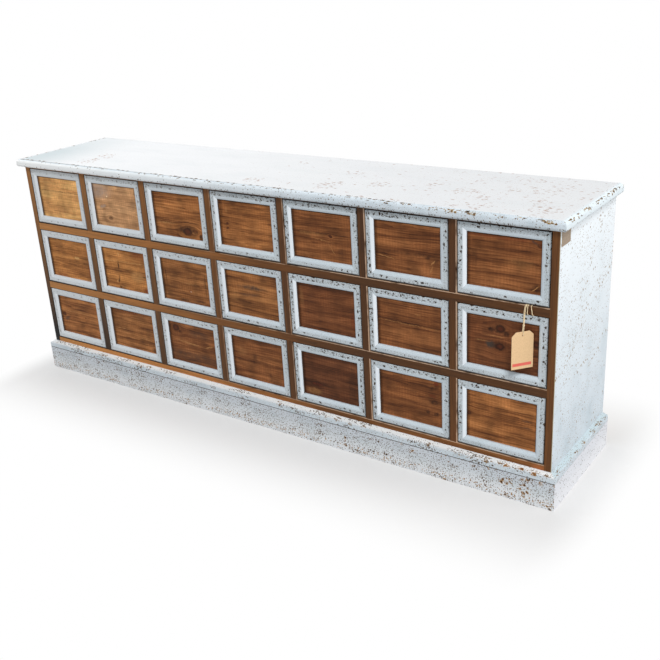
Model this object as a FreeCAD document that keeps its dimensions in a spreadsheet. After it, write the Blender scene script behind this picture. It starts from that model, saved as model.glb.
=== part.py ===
# A long sideboard with twenty-one inset drawers, in three rows of seven, on a plinth.
# Millimetres. +X is the width, to the right seen from the front, +Y goes back and +Z up.
# The origin is on the floor, under the middle of the top.
import FreeCAD, Part
import math
import os
import Sketcher

SIZES = (
    ("column_count", 7, "drawers in a row"),
    ("row_count", 3, "drawers in a column"),
    ("column_pitch", 305, "from one drawer to the next, across"),
    ("row_pitch", 243.5, "from one drawer to the next, upwards"),
    ("divider_thick", 24, "muntins, and the partitions behind them"),
    ("rail_high", 26, "rails between the rows, and the runners behind them"),
    ("side_thick", 23, "side panels, and the end stiles in front of them"),
    ("carcass_deep", 430.5, "front of the face frame to the back"),
    ("frame_deep", 45, "depth of the face frame's stiles, rails and muntins"),
    ("sill_height", 133.5, "floor to the top of the bottom rail"),
    ("bottom_rail_high", 60, "height of the bottom rail"),
    ("bottom_thick", 18, "bottom board"),
    ("base_bearer_thick", 24, "boards on edge that carry the bottom board"),
    ("top_rail_high", 16, "top rail, and the flat bearers behind it"),
    ("bearer_wide", 60, "width of the flat bearers under the top"),
    ("back_thick", 6, "back panel"),
    ("back_rebate", 10, "how far the back panel laps on the side panels"),
    ("back_foot_gap", 20, "floor to the back panel"),
    ("top_thick", 18, "top board"),
    ("top_overhang", 21.5, "edging round the top, proud of the carcass"),
    ("edging_drop", 10, "edging, below the top board"),
    ("edging_round", 12, "upper rounding of the edging"),
    ("edging_under_round", 8, "lower rounding of the edging"),
    ("plinth_thick", 18, "plinth boards"),
    ("plinth_high", 90, "plinth boards"),
    ("cap_high", 20, "outer face of the plinth cap"),
    ("cap_rise", 6, "how much the cap's top climbs towards the carcass"),
    ("cap_round", 2.5, "rounding along the cap's outer edge"),
    ("drawer_gap", 3, "all round a drawer front"),
    ("front_thick", 20, "drawer front"),
    ("moulding_wide", 27, "moulding round a drawer front"),
    ("moulding_flat", 15, "flat outer part of the moulding"),
    ("moulding_fall", 5.5, "how far the moulding's inner part falls"),
    ("moulding_round", 20, "radius of the moulding's inner part"),
    ("moulding_arris", 1.5, "rounding of the moulding's outer edge"),
    ("panel_set_back", 10, "moulding's face to the panel"),
    ("panel_lap", 9, "panel in the moulding's rebate, on each side"),
    ("box_length", 380, "drawer box, behind the front"),
    ("box_inset", 1.5, "drawer side, inside the end of the front"),
    ("box_side_high", 205, "drawer side"),
    ("box_board_thick", 12, "drawer sides and back"),
    ("box_bottom_thick", 5, "drawer bottom"),
    ("box_bottom_raise", 10, "drawer bottom, above the foot of the sides"),
    ("box_groove_deep", 5, "groove in a drawer side for the bottom"),
    ("fit_clearance", 0.3, "between parts that slide or slot together"),
    ("runner_wide", 22, "drawer runners"),
    ("stop_wide", 30, "drawer stops, along the rail"),
    ("stop_thick", 12, "drawer stops, front to back"),
    ("stop_high", 7, "drawer stops"),
    ("stop_spread", 140, "between the two stops of a drawer"),
    ("tag_wide", 66, "swing tag"),
    ("tag_high", 112, "swing tag"),
    ("tag_corner", 12, "cut corners of the tag"),
    ("tag_thick", 0.8, "swing tag"),
    ("tag_hole_down", 11, "tag's top edge to its hole"),
    ("tag_hole_radius", 2.2, "hole in the tag"),
    ("tag_turn", 50, "degrees that the tag has twisted on its twine"),
    ("twine_thick", 2.2, "twine"),
)

doc = FreeCAD.newDocument("sideboard")
sheet = doc.addObject("Spreadsheet::Sheet", "size")
for line, (alias, value, meaning) in enumerate(SIZES, start=1):
    sheet.set(f"A{line}", meaning)
    sheet.set(f"B{line}", str(value))
    sheet.setAlias(f"B{line}", alias)
doc.recompute()


def number(expression):
    """The value of an expression on the sheet, as a plain number."""
    return float(sheet.evalExpression(str(expression)))


COLUMNS = int(number("size.column_count"))
ROWS = int(number("size.row_count"))

# Levels and widths that follow from the sheet
OPENING_WIDE = "(size.column_pitch - size.divider_thick)"
OPENING_HIGH = "(size.row_pitch - size.rail_high)"
FRONT_WIDE = f"({OPENING_WIDE} - 2 * size.drawer_gap)"
FRONT_HIGH = f"({OPENING_HIGH} - 2 * size.drawer_gap)"
INNER_HALF = "((size.column_pitch * size.column_count - size.divider_thick) / 2)"
OUTER_HALF = f"({INNER_HALF} + size.side_thick)"
TOP_HALF = f"({OUTER_HALF} + size.top_overhang)"
PLINTH_HALF = f"({OUTER_HALF} + size.plinth_thick)"
FACE = "(0 - (size.carcass_deep - size.top_overhang) / 2)"
BEHIND_FRAME = f"({FACE} + size.frame_deep)"
REAR = f"({FACE} + size.carcass_deep)"
BACK_FACE = f"({REAR} - size.back_thick)"
BAY_DEEP = "(size.carcass_deep - size.frame_deep - size.back_thick)"
TOP_FRONT = f"({FACE} - size.top_overhang)"
TOP_DEEP = "(size.carcass_deep + size.top_overhang)"
PLINTH_FRONT = f"({FACE} - size.plinth_thick)"
PLINTH_DEEP = "(size.carcass_deep + size.plinth_thick)"
HEAD = "(size.sill_height + size.row_pitch * size.row_count - size.rail_high)"
CASE_TOP = f"({HEAD} + size.top_rail_high)"
TOP = f"({CASE_TOP} + size.top_thick)"
BOX_LOW = f"(0 - {OPENING_HIGH} / 2 + size.fit_clearance)"
BOX_HALF = f"({FRONT_WIDE} / 2 - size.box_inset)"
PANEL_THICK = "(size.front_thick - size.panel_set_back)"
PANEL_MARGIN = "(size.moulding_wide - size.panel_lap)"


def opening_floor(row):
    """Level of the rail's top under a row. Row 1 is the top one."""
    return f"(size.sill_height + size.row_pitch * (size.row_count - {row}))"


def column_middle(column):
    """Where the middle of a column is. Column 1 is the left one."""
    return f"(size.column_pitch * ({column} - (size.column_count + 1) / 2))"


def bind(item, **cells):
    """Binds properties of an object to expressions."""
    for name, expression in cells.items():
        item.setExpression(name.replace("__", "."), str(expression))
    return item


def place(item, x="0", y="0", z="0"):
    """Binds an object's place to expressions."""
    return bind(item, Placement__Base__x=x, Placement__Base__y=y, Placement__Base__z=z)


def board(label, across, back, up):
    """A plain board. Each direction gives where it starts and how far it goes."""
    box = doc.addObject("Part::Box", label)
    bind(box, Length=across[1], Width=back[1], Height=up[1])
    return place(box, across[0], back[0], up[0])


def group(label, pieces):
    """One sub-part of several separate solids."""
    compound = doc.addObject("Part::Compound", label)
    compound.Label = label
    compound.Links = pieces
    return compound


def mirrored(piece, normal):
    """The same piece on the other side of the middle."""
    other = doc.addObject("Part::Mirroring", piece.Name + "_mirrored")
    other.Source = piece
    other.Normal = FreeCAD.Vector(*normal)
    return other


def origin_item(body, role):
    """One of a body's own origin planes or axes."""
    return next(item for item in body.Origin.OriginFeatures if item.Role == role)


def arc_between(start, end, radius, turn):
    """The short arc from start to end. turn is 1 where it goes anticlockwise, else -1."""
    chord = end - start
    offset = math.sqrt(max(radius ** 2 - (chord.Length / 2) ** 2, 0))
    across = FreeCAD.Vector(-chord.y, chord.x, 0).normalize()
    centre = (start + end) / 2 + across * offset * turn
    first, last = (start, end) if turn > 0 else (end, start)
    angles = [math.atan2(p.y - centre.y, p.x - centre.x) for p in (first, last)]
    if angles[1] < angles[0]:
        angles[1] += 2 * math.pi
    circle = Part.Circle(centre, FreeCAD.Vector(0, 0, 1), radius)
    return Part.ArcOfCircle(circle, *angles)


def outline(body, role, corners):
    """A closed sketch on one of the body's planes. A corner is (x, y), or (x, y, radius, turn)
    where an arc of that radius leads to the next corner."""
    sketch = body.newObject("Sketcher::SketchObject", body.Name + "_outline")
    sketch.AttachmentSupport = [(origin_item(body, role), "")]
    sketch.MapMode = "FlatFace"
    points = [FreeCAD.Vector(number(c[0]), number(c[1]), 0) for c in corners]
    ends = []
    for index, corner in enumerate(corners):
        start, end = points[index], points[(index + 1) % len(points)]
        if len(corner) == 2:
            sketch.addGeometry(Part.LineSegment(start, end), False)
            ends.append((1, 2))
            continue
        radius, turn = corner[2], corner[3]
        sketch.addGeometry(arc_between(start, end, number(radius), turn), False)
        ends.append((1, 2) if turn > 0 else (2, 1))
        row = sketch.addConstraint(Sketcher.Constraint("Radius", index, number(radius)))
        sketch.setExpression(f"Constraints[{row}]", radius)
    for index, (start_end, finish_end) in enumerate(ends):
        following = (index + 1) % len(ends)
        joint = Sketcher.Constraint("Coincident", index, finish_end, following, ends[following][0])
        sketch.addConstraint(joint)
    for index, (corner, point) in enumerate(zip(corners, points)):
        marks = (("DistanceX", corner[0], point.x), ("DistanceY", corner[1], point.y))
        for kind, expression, value in marks:
            fixed = Sketcher.Constraint(kind, -1, 1, index, ends[index][0], value)
            row = sketch.addConstraint(fixed)
            sketch.setExpression(f"Constraints[{row}]", expression)
    return sketch


def pad(body, sketch, length, side="One side", reverse=False):
    """Extrudes a sketch into the body's solid."""
    feature = body.newObject("PartDesign::Pad", body.Name + "_pad")
    feature.Profile = sketch
    feature.SideType = side
    feature.Reversed = reverse
    return bind(feature, Length=length)


def cut_through(body, role, corners):
    """Cuts an outline right through the body, both ways from its plane."""
    feature = body.newObject("PartDesign::Pocket", body.Name + "_cut")
    feature.Profile = outline(body, role, corners)
    feature.Type = "ThroughAll"
    feature.SideType = "Symmetric"
    return feature


def new_body(label):
    return doc.addObject("PartDesign::Body", label)


# How far a mitre's cut runs past the wood, so that nothing is left at its ends
CUT_PAST = "2"


def mitre(x, y, reach, way_x, way_y):
    """The offcut of a mitre from the outer corner (x, y). The strip's inner side lies way_y of it,
    and the strip ends way_x of it."""
    far = f"({reach} + {CUT_PAST})"
    return [
        (f"{x} + {way_x} * {CUT_PAST}", f"{y} - {way_y} * {CUT_PAST}"),
        (f"{x} - {way_x} * {far}", f"{y} + {way_y} * {far}"),
        (f"{x} + {way_x} * {CUT_PAST}", f"{y} + {way_y} * {far}"),
    ]


# The face frame
FRAME_DEPTH = (FACE, "size.frame_deep")


def level_rail(label, low, high):
    """A rail between the two end stiles."""
    return board(label, (f"0 - {INNER_HALF}", f"2 * {INNER_HALF}"), FRAME_DEPTH, (low, high))


def make_end_stiles():
    right = board("stile", (INNER_HALF, "size.side_thick"), FRAME_DEPTH, ("0", CASE_TOP))
    return group("end_stiles", [mirrored(right, (1, 0, 0)), right])


def make_rails():
    rails = [level_rail("rail_head", HEAD, "size.top_rail_high")]
    for row in range(1, ROWS):
        low = f"{opening_floor(row)} - size.rail_high"
        rails.append(level_rail(f"rail_under_row_{row}", low, "size.rail_high"))
    low = "size.sill_height - size.bottom_rail_high"
    rails.append(level_rail("rail_sill", low, "size.bottom_rail_high"))
    return group("face_frame_rails", rails)


def divider_start(column):
    """The left face of the divider to the right of a column."""
    return f"({column_middle(column)} + {OPENING_WIDE} / 2)"


def make_muntins():
    """A short upright between each two drawers of a row."""
    muntins = [
        board(f"muntin_r{row}c{column}", (divider_start(column), "size.divider_thick"), FRAME_DEPTH,
              (opening_floor(row), OPENING_HIGH))
        for row in range(1, ROWS + 1)
        for column in range(1, COLUMNS)
    ]
    return group("muntins", muntins)


# The carcass behind the face frame
def make_partitions():
    """A board on edge between each two columns, from the bottom board to the top bearers."""
    upright = ("size.sill_height", f"{HEAD} - size.sill_height")
    partitions = [
        board(f"partition_{column}", (divider_start(column), "size.divider_thick"),
              (BEHIND_FRAME, BAY_DEEP), upright)
        for column in range(1, COLUMNS)
    ]
    return group("partitions", partitions)


def make_side_panel():
    """The right side panel, rebated at the rear for the back panel."""
    body = new_body("side_panel_right")
    rebate = f"({OUTER_HALF} - size.back_rebate)"
    sketch = outline(body, "XY_Plane", [
        (INNER_HALF, BEHIND_FRAME),
        (OUTER_HALF, BEHIND_FRAME),
        (OUTER_HALF, REAR),
        (rebate, REAR),
        (rebate, BACK_FACE),
        (INNER_HALF, BACK_FACE),
    ])
    pad(body, sketch, CASE_TOP)
    return body


def make_back_panel():
    half = f"({OUTER_HALF} - size.back_rebate)"
    return board("back_panel", (f"0 - {half}", f"2 * {half}"), (BACK_FACE, "size.back_thick"),
                 ("size.back_foot_gap", f"{CASE_TOP} - size.back_foot_gap"))


def make_bottom_board():
    return board("bottom_board", (f"0 - {INNER_HALF}", f"2 * {INNER_HALF}"), (BEHIND_FRAME, BAY_DEEP),
                 ("size.sill_height - size.bottom_thick", "size.bottom_thick"))


def make_base_bearers():
    """Three boards on edge under the bottom board, in the middle and under the outer bays."""
    spots = (column_middle(1), column_middle("(size.column_count + 1) / 2"), column_middle(COLUMNS))
    bearers = [
        board(f"base_bearer_{index}", (f"{spot} - size.base_bearer_thick / 2", "size.base_bearer_thick"),
              (BEHIND_FRAME, BAY_DEEP), ("0", "size.sill_height - size.bottom_thick"))
        for index, spot in enumerate(spots)
    ]
    return group("base_bearers", bearers)


def make_top_bearers():
    """Flat boards under the top, on the partitions: behind the top rail and at the rear."""
    starts = (BEHIND_FRAME, f"{BACK_FACE} - size.bearer_wide")
    bearers = [
        board(f"top_bearer_{index}", (f"0 - {INNER_HALF}", f"2 * {INNER_HALF}"),
              (start, "size.bearer_wide"), (HEAD, "size.top_rail_high"))
        for index, start in enumerate(starts)
    ]
    return group("top_bearers", bearers)


def make_runners():
    """A runner along each side of every bay, level with the rail in front of it."""
    runners = []
    for row in range(1, ROWS):
        for column in range(1, COLUMNS + 1):
            low = f"{opening_floor(row)} - size.rail_high"
            left = f"({column_middle(column)} - {OPENING_WIDE} / 2)"
            right = f"({column_middle(column)} + {OPENING_WIDE} / 2 - size.runner_wide)"
            for hand, start in (("left", left), ("right", right)):
                label = f"runner_r{row}c{column}_{hand}"
                runners.append(board(label, (start, "size.runner_wide"), (BEHIND_FRAME, BAY_DEEP),
                                     (low, "size.rail_high")))
    return group("drawer_runners", runners)


def make_stops():
    """Two small blocks on the rail behind each drawer front."""
    stops = []
    near = f"{FACE} + size.front_thick + size.fit_clearance"
    for row in range(1, ROWS + 1):
        for column in range(1, COLUMNS + 1):
            for hand, way in (("left", -1), ("right", 1)):
                start = f"{column_middle(column)} + ({way}) * size.stop_spread / 2 - size.stop_wide / 2"
                stops.append(board(f"stop_r{row}c{column}_{hand}", (start, "size.stop_wide"),
                                   (near, "size.stop_thick"), (opening_floor(row), "size.stop_high")))
    return group("drawer_stops", stops)


# The top, the plinth and its cap
def make_top_board():
    return board("top_board", (f"0 - {OUTER_HALF}", f"2 * {OUTER_HALF}"), (FACE, "size.carcass_deep"),
                 (CASE_TOP, "size.top_thick"))


def front_and_sides(label, profile, half, near, deep, reach):
    """A moulding along the front and both ends, mitred at the two front corners. profile gives the
    section's corners as (out from the carcass, level), with its arcs drawn for the right side."""
    front = new_body(label + "_front")
    section = [(f"{FACE} - ({out})", level, *arc_reversed(arc)) for out, level, *arc in profile]
    pad(front, outline(front, "YZ_Plane", section), f"2 * {half}", "Symmetric")
    cut_through(front, "XY_Plane", mitre(half, near, reach, 1, 1))
    cut_through(front, "XY_Plane", mitre(f"0 - {half}", near, reach, -1, 1))
    side = new_body(label + "_right")
    section = [(f"{OUTER_HALF} + ({out})", level, *arc) for out, level, *arc in profile]
    pad(side, outline(side, "XZ_Plane", section), deep, reverse=True)
    place(side, y=near)
    cut_through(side, "XY_Plane", [(y_side, x_side) for x_side, y_side in mitre("0", half, reach, -1, -1)])
    return group(label, [front, mirrored(side, (1, 0, 0)), side])


def arc_reversed(arc):
    """An arc's radius and turn, for a section that is drawn the other way round."""
    return (arc[0], -arc[1]) if arc else ()


def make_top_edging():
    """Three mitred strips with a rounded nose, deeper than the top board that they edge."""
    out = "size.top_overhang"
    low = f"({CASE_TOP} - size.edging_drop)"
    return front_and_sides("top_edging", [
        ("0", TOP),
        ("0", low),
        (f"{out} - size.edging_under_round", low, "size.edging_under_round", 1),
        (out, f"{low} + size.edging_under_round"),
        (out, f"{TOP} - size.edging_round", "size.edging_round", 1),
        (f"{out} - size.edging_round", TOP),
    ], TOP_HALF, TOP_FRONT, TOP_DEEP, out)


def make_plinth_cap():
    """Three mitred strips on the plinth boards, whose tops slope down from the carcass."""
    out = "size.plinth_thick"
    low = "size.plinth_high"
    edge = f"({low} + size.cap_high)"
    return front_and_sides("plinth_cap", [
        ("0", f"{edge} + size.cap_rise"),
        ("0", low),
        (out, low),
        (out, f"{edge} - size.cap_round", "size.cap_round", 1),
        (f"{out} - size.cap_round", edge),
    ], PLINTH_HALF, PLINTH_FRONT, PLINTH_DEEP, out)


def make_plinth_boards():
    """Front and side boards that stand on the floor round the carcass, mitred in front."""
    out = "size.plinth_thick"
    return front_and_sides("plinth_boards", [
        ("0", "size.plinth_high"),
        ("0", "0"),
        (out, "0"),
        (out, "size.plinth_high"),
    ], PLINTH_HALF, PLINTH_FRONT, PLINTH_DEEP, out)


# A drawer, about the middle of its front's face
def moulding_section():
    """The moulding's section as (in from the outer edge, back from the face)."""
    wide, fall = "size.moulding_wide", "size.moulding_fall"
    return [
        ("0", "size.moulding_arris", "size.moulding_arris", 1),
        ("size.moulding_arris", "0"),
        ("size.moulding_flat", "0", "size.moulding_round", 1),
        (wide, fall),
        (wide, "size.panel_set_back"),
        (PANEL_MARGIN, "size.panel_set_back"),
        (PANEL_MARGIN, "size.front_thick"),
        ("0", "size.front_thick"),
    ]


def make_moulding():
    """Four mitred strips round the panel, whose rebate holds it."""
    reach = "size.moulding_wide"
    half_wide, half_high = f"({FRONT_WIDE} / 2)", f"({FRONT_HIGH} / 2)"
    upper = new_body("moulding_upper")
    section = [(back, f"{half_high} - {inward}", *arc) for inward, back, *arc in moulding_section()]
    pad(upper, outline(upper, "YZ_Plane", section), FRONT_WIDE, "Symmetric")
    cut_through(upper, "XZ_Plane", mitre(half_wide, half_high, reach, 1, -1))
    cut_through(upper, "XZ_Plane", mitre(f"0 - {half_wide}", half_high, reach, -1, -1))
    left = new_body("moulding_left")
    section = [(f"{inward} - {half_wide}", back, *arc) for inward, back, *arc in moulding_section()]
    pad(left, outline(left, "XY_Plane", section), FRONT_HIGH, "Symmetric")
    for way in (1, -1):
        corners = mitre(f"({way}) * {half_high}", f"0 - {half_wide}", reach, way, 1)
        cut_through(left, "XZ_Plane", [(across, up) for up, across in corners])
    return group("drawer_moulding", [upper, mirrored(upper, (0, 0, 1)), left, mirrored(left, (1, 0, 0))])


def make_box():
    """The drawer behind its moulding: panel, two grooved sides, back and a thin bottom."""
    panel_half = f"({FRONT_WIDE} / 2 - {PANEL_MARGIN} - size.fit_clearance)"
    panel_rise = f"({FRONT_HIGH} / 2 - {PANEL_MARGIN} - size.fit_clearance)"
    panel = board("front_panel", (f"0 - {panel_half}", f"2 * {panel_half}"),
                  ("size.panel_set_back", PANEL_THICK), (f"0 - {panel_rise}", f"2 * {panel_rise}"))
    inner = f"({BOX_HALF} - size.box_board_thick)"
    groove = f"({inner} + size.box_groove_deep)"
    groove_low = f"({BOX_LOW} + size.box_bottom_raise)"
    groove_high = f"({groove_low} + size.box_bottom_thick)"
    side = new_body("box_side_right")
    section = outline(side, "XZ_Plane", [
        (inner, BOX_LOW),
        (BOX_HALF, BOX_LOW),
        (BOX_HALF, f"{BOX_LOW} + size.box_side_high"),
        (inner, f"{BOX_LOW} + size.box_side_high"),
        (inner, groove_high),
        (groove, groove_high),
        (groove, groove_low),
        (inner, groove_low),
    ])
    pad(side, section, "size.box_length", reverse=True)
    place(side, y="size.front_thick")
    across = (f"0 - {inner}", f"2 * {inner}")
    rear = board("box_back", across,
                 ("size.front_thick + size.box_length - size.box_board_thick", "size.box_board_thick"),
                 (groove_high, "size.box_side_high - size.box_bottom_raise - size.box_bottom_thick"))
    reach = f"({groove} - size.fit_clearance)"
    bottom = board("box_bottom", (f"0 - {reach}", f"2 * {reach}"), ("size.front_thick", "size.box_length"),
                   (groove_low, "size.box_bottom_thick"))
    return group("drawer_box", [panel, mirrored(side, (1, 0, 0)), side, rear, bottom])


def drawer_copies(pattern_piece, ending):
    """A copy of one drawer's piece in each opening."""
    copies = []
    for row in range(1, ROWS + 1):
        middle = f"{opening_floor(row)} + {OPENING_HIGH} / 2"
        for column in range(1, COLUMNS + 1):
            copy = group(f"drawer_r{row}c{column}_{ending}", [pattern_piece])
            copies.append(place(copy, column_middle(column), FACE, middle))
    return copies


# The swing tag and its twine, about the middle of the opening under the upper rail at the right
TAG_ROW = 2
TAG_HOLE = ("73.1", "0 - 20.5", "0 - 56.1")


def hang(item, x="0", y="0", z="0"):
    """Places a piece of the tag from the middle of the rail's lower edge."""
    return place(item, f"{column_middle(COLUMNS)} + {x}", f"{FACE} + {y}",
                 f"{opening_floor(TAG_ROW)} + {OPENING_HIGH} + {z}")


def make_tag():
    """A card with two cut corners, about its hole."""
    body = new_body("swing_tag")
    half = "(size.tag_wide / 2)"
    low = "(size.tag_hole_down - size.tag_high)"
    sketch = outline(body, "XZ_Plane", [
        (f"0 - {half}", low),
        (half, low),
        (half, "size.tag_hole_down - size.tag_corner"),
        (f"{half} - size.tag_corner", "size.tag_hole_down"),
        (f"size.tag_corner - {half}", "size.tag_hole_down"),
        (f"0 - {half}", "size.tag_hole_down - size.tag_corner"),
    ])
    hole = sketch.addGeometry(Part.Circle(FreeCAD.Vector(), FreeCAD.Vector(0, 0, 1), 1), False)
    sketch.addConstraint(Sketcher.Constraint("Coincident", hole, 3, -1, 1))
    row = sketch.addConstraint(Sketcher.Constraint("Radius", hole, number("size.tag_hole_radius")))
    sketch.setExpression(f"Constraints[{row}]", "size.tag_hole_radius")
    pad(body, sketch, "size.tag_thick", "Symmetric")
    body.Placement.Rotation = FreeCAD.Rotation(FreeCAD.Vector(0, 0, 1), number("size.tag_turn"))
    return hang(body, *TAG_HOLE)


# Twine: out of the gap under the rail, up into the gap over it, down through the tag's hole and
# back the same way. Each point is across, back and up from the middle of the rail's lower edge.
TWINE_ROUTE = (
    (93.7, 6, -1.5),
    (93.7, -6.5, -1.5),
    (91.6, -5.6, 13),
    (88.6, -6, 27.5),
    (88.6, 10, 27.5),
    (72.2, 10, 27.5),
    (72.2, -6, 27.5),
    (69.2, -5.4, 11),
    (68.9, -6.2, -1),
    (70.4, -10.4, -14),
    (71.7, -15.2, -29.2),
    (70.9, -17.6, -42),
    (70.1, -18.1, -55.5),
    (76.1, -22.9, -55.5),
    (76.3, -22.6, -43),
    (74.3, -16.8, -29.2),
    (73.2, -11.2, -14),
    (71.7, -6.4, -1),
    (72.2, -5.6, 11),
    (74.8, -6, 27.5),
    (74.8, 5, 27.5),
    (79.4, 5, 27.5),
    (79.4, -6, 27.5),
    (78.5, -5.6, 13),
    (78, -6.5, -1.5),
    (78, 6, -1.5),
)
ARC_SHARE = 0.45
TWINE_SIDES = 6


def rounded_path(points):
    """Straight runs joined by tangent arcs, each as large as its two runs allow."""
    edges, radii = [], []
    start = points[0]
    for before, corner, after in zip(points, points[1:], points[2:]):
        back, ahead = before - corner, after - corner
        half_turn = (math.pi - back.getAngle(ahead)) / 2
        trim = ARC_SHARE * min(back.Length, ahead.Length)
        radii.append(trim / math.tan(half_turn))
        back.normalize()
        ahead.normalize()
        enter, leave = corner + back * trim, corner + ahead * trim
        inward = (back + ahead).normalize()
        middle = corner + inward * radii[-1] * (1 / math.cos(half_turn) - 1)
        edges.append(Part.LineSegment(start, enter).toShape())
        edges.append(Part.Arc(enter, middle, leave).toShape())
        start = leave
    edges.append(Part.LineSegment(start, points[-1]).toShape())
    return Part.Wire(edges), radii


def make_twine():
    points = [FreeCAD.Vector(*point) for point in TWINE_ROUTE]
    path, radii = rounded_path(points)
    radius = number("size.twine_thick") / 2
    rim = []
    for index in range(TWINE_SIDES + 1):
        angle = 2 * math.pi * index / TWINE_SIDES
        rim.append(points[0] + FreeCAD.Vector(radius * math.cos(angle), 0, radius * math.sin(angle)))
    section = Part.Wire(Part.makePolygon(rim).Edges)
    twine = doc.addObject("Part::Feature", "tag_twine")
    twine.Shape = path.makePipeShell([section], True, False)
    hang(twine)
    area = Part.Face(section).Area
    print("twine length", round(path.Length, 1), "tightest arc", round(min(radii), 2))
    print("twine radii", [round(r, 1) for r in radii])
    print("twine volume over section times length", round(twine.Shape.Volume / (area * path.Length), 4))
    return twine


side_panel_right = make_side_panel()
side_panel_left = mirrored(side_panel_right, (1, 0, 0))
side_panel_left.Label = "side_panel_left"
moulding = make_moulding()
box = make_box()
subparts = [
    make_end_stiles(),
    make_rails(),
    make_muntins(),
    make_partitions(),
    side_panel_left,
    side_panel_right,
    make_back_panel(),
    make_bottom_board(),
    make_base_bearers(),
    make_top_bearers(),
    make_runners(),
    make_stops(),
    make_top_board(),
    make_top_edging(),
    make_plinth_boards(),
    make_plinth_cap(),
    make_tag(),
    make_twine(),
]
subparts += drawer_copies(moulding, "frame")
subparts += drawer_copies(box, "box")
doc.recompute()

for item in doc.Objects:
    if "Invalid" in item.State or "Error" in item.State:
        raise RuntimeError(f"{item.Label} could not be built: {item.State}")
os.makedirs("parts", exist_ok=True)
for subpart in subparts:
    shape = subpart.Shape
    if shape.isNull() or not shape.isValid():
        raise RuntimeError(f"{subpart.Label} has no valid shape")
    shape.exportStep(f"parts/{subpart.Label}.step")
    print(subpart.Label, len(shape.Solids), round(shape.Volume))
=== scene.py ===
# Looks of a long painted sideboard with twenty-one drawers, round its fixed CAD frame.
# Metres, +X to the right seen from the front, +Y to the back, +Z up. Lengths in materials are millimetres.
import math

import bmesh
import bpy
from mathutils import Matrix, Vector


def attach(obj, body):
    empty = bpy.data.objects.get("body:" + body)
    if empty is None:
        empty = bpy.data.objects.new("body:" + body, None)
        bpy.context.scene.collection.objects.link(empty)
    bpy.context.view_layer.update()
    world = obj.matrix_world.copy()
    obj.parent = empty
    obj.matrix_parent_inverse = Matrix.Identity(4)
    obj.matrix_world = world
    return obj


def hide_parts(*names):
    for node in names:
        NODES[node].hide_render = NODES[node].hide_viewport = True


bl_info = {
    "name": "Painted drawer sideboard",
    "version": (1, 0, 0),
    "blender": (4, 5, 0),
    "location": "View3D > Sidebar > Sideboard",
    "description": "Materials, twine, tag, studio and camera for a many-drawered sideboard",
    "category": "Object",
}

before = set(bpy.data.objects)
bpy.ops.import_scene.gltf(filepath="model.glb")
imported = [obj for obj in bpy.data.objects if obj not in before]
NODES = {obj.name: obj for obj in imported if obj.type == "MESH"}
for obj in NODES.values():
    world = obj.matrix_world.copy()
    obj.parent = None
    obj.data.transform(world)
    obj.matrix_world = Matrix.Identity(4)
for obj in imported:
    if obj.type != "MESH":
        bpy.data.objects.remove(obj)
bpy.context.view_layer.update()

# The frame's own measures, in millimetres
ROWS = 3
COLUMNS = 7
COLUMN_PITCH = 305
ROW_PITCH = 243.5
LOWEST_DRAWER = 242.25
FRONT_HALF_WIDE = 137.5
FRONT_HALF_HIGH = 105.75
PANEL_BACK = 10
MOULDING_WIDE = 27
FACE = -204.5
SIDE = 1079
TOP = 872
SILL = 133.5
PLINTH_TOP = 90

CHIP_STEP = 17
UPRIGHT = (0, math.pi / 2, 0)
LENGTHWISE = (0, 0, math.pi / 2)
WHITE = (1, 1, 1, 1)


def linear(code):
    """An sRGB hex colour as linear red, green, blue and alpha."""
    parts = [int(code[i:i + 2], 16) / 255 for i in (1, 3, 5)]
    return tuple(p / 12.92 if p <= 0.04045 else ((p + 0.055) / 1.055) ** 2.4 for p in parts) + (1,)


def scaled(shade, red, green=None, blue=None):
    """A colour whose channels are each made stronger or weaker, or all three by the one factor given."""
    factors = (red, red if green is None else green, red if blue is None else blue)
    return tuple(min(part * factor, 1) for part, factor in zip(shade, factors)) + (1,)


def colour(name, description, code):
    """A colour that the panel shows, from its sRGB hex value."""
    return bpy.props.FloatVectorProperty(name=name, description=description, subtype="COLOR", size=4, min=0,
                                         max=1, default=linear(code))


def length(name, description, value):
    """A length that the panel shows, in metres."""
    return bpy.props.FloatProperty(name=name, description=description, default=value, min=0,
                                   subtype="DISTANCE", unit="LENGTH", precision=5)


def power(name, description, value):
    """The power of a lamp, in watts."""
    return bpy.props.FloatProperty(name=name, description=description, default=value, min=0, unit="POWER")


class SideboardPaint(bpy.types.PropertyGroup):
    front: colour("Drawer frames", "Milk paint on the mouldings round the drawers", "#c8d2d8")
    case: colour("Case", "Milk paint on the sides, the nosing and the plinth's cap", "#d3dee6")
    plinth: colour("Plinth", "Milk paint on the plinth boards", "#d8dfe4")
    top: colour("Top", "Milk paint on the top board", "#e4e6e8")


class SideboardWood(bpy.types.PropertyGroup):
    stain: colour("Face frame", "Brown stain on the rails, muntins and stiles", "#643d1a")
    # The worn arris tone is partly rubbed bare wood and partly a painted highlight along the face frame's
    # arrises.
    arris: colour("Worn arris", "Pale wood where the face frame's edges have rubbed", "#cfae92")
    bare: colour("Bare pine", "Planed pine inside the case and the drawers", "#c9a877")


class SideboardTag(bpy.types.PropertyGroup):
    card: colour("Card", "Brown card of the swing tag", "#e3c094")
    band: colour("Band", "Plain printed band near the tag's foot", "#df5f58")
    twine: colour("Twine", "Jute twine", "#f2dcb4")
    twine_thick: length("Twine thickness", "Diameter of the twine", 0.0022)
    twine_lay: length("Lay of the twine", "Length in which its two plies turn once", 0.0085)
    plate_wide: length("Plate width", "Blank plate under the top on the right side", 0.062)
    plate_high: length("Plate height", "Blank plate under the top on the right side", 0.048)


class SideboardStudio(bpy.types.PropertyGroup):
    floor: colour("Floor", "Pale floor", "#dcdcdc")
    key: power("Key light", "High lamp in front, to the right", 450)
    fill: power("Fill light", "Lamp beside the right end", 42)
    overhead: power("Overhead light", "Lamp above the left half", 38)


def settings(name):
    return getattr(bpy.context.scene, f"sideboard_{name}")


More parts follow.
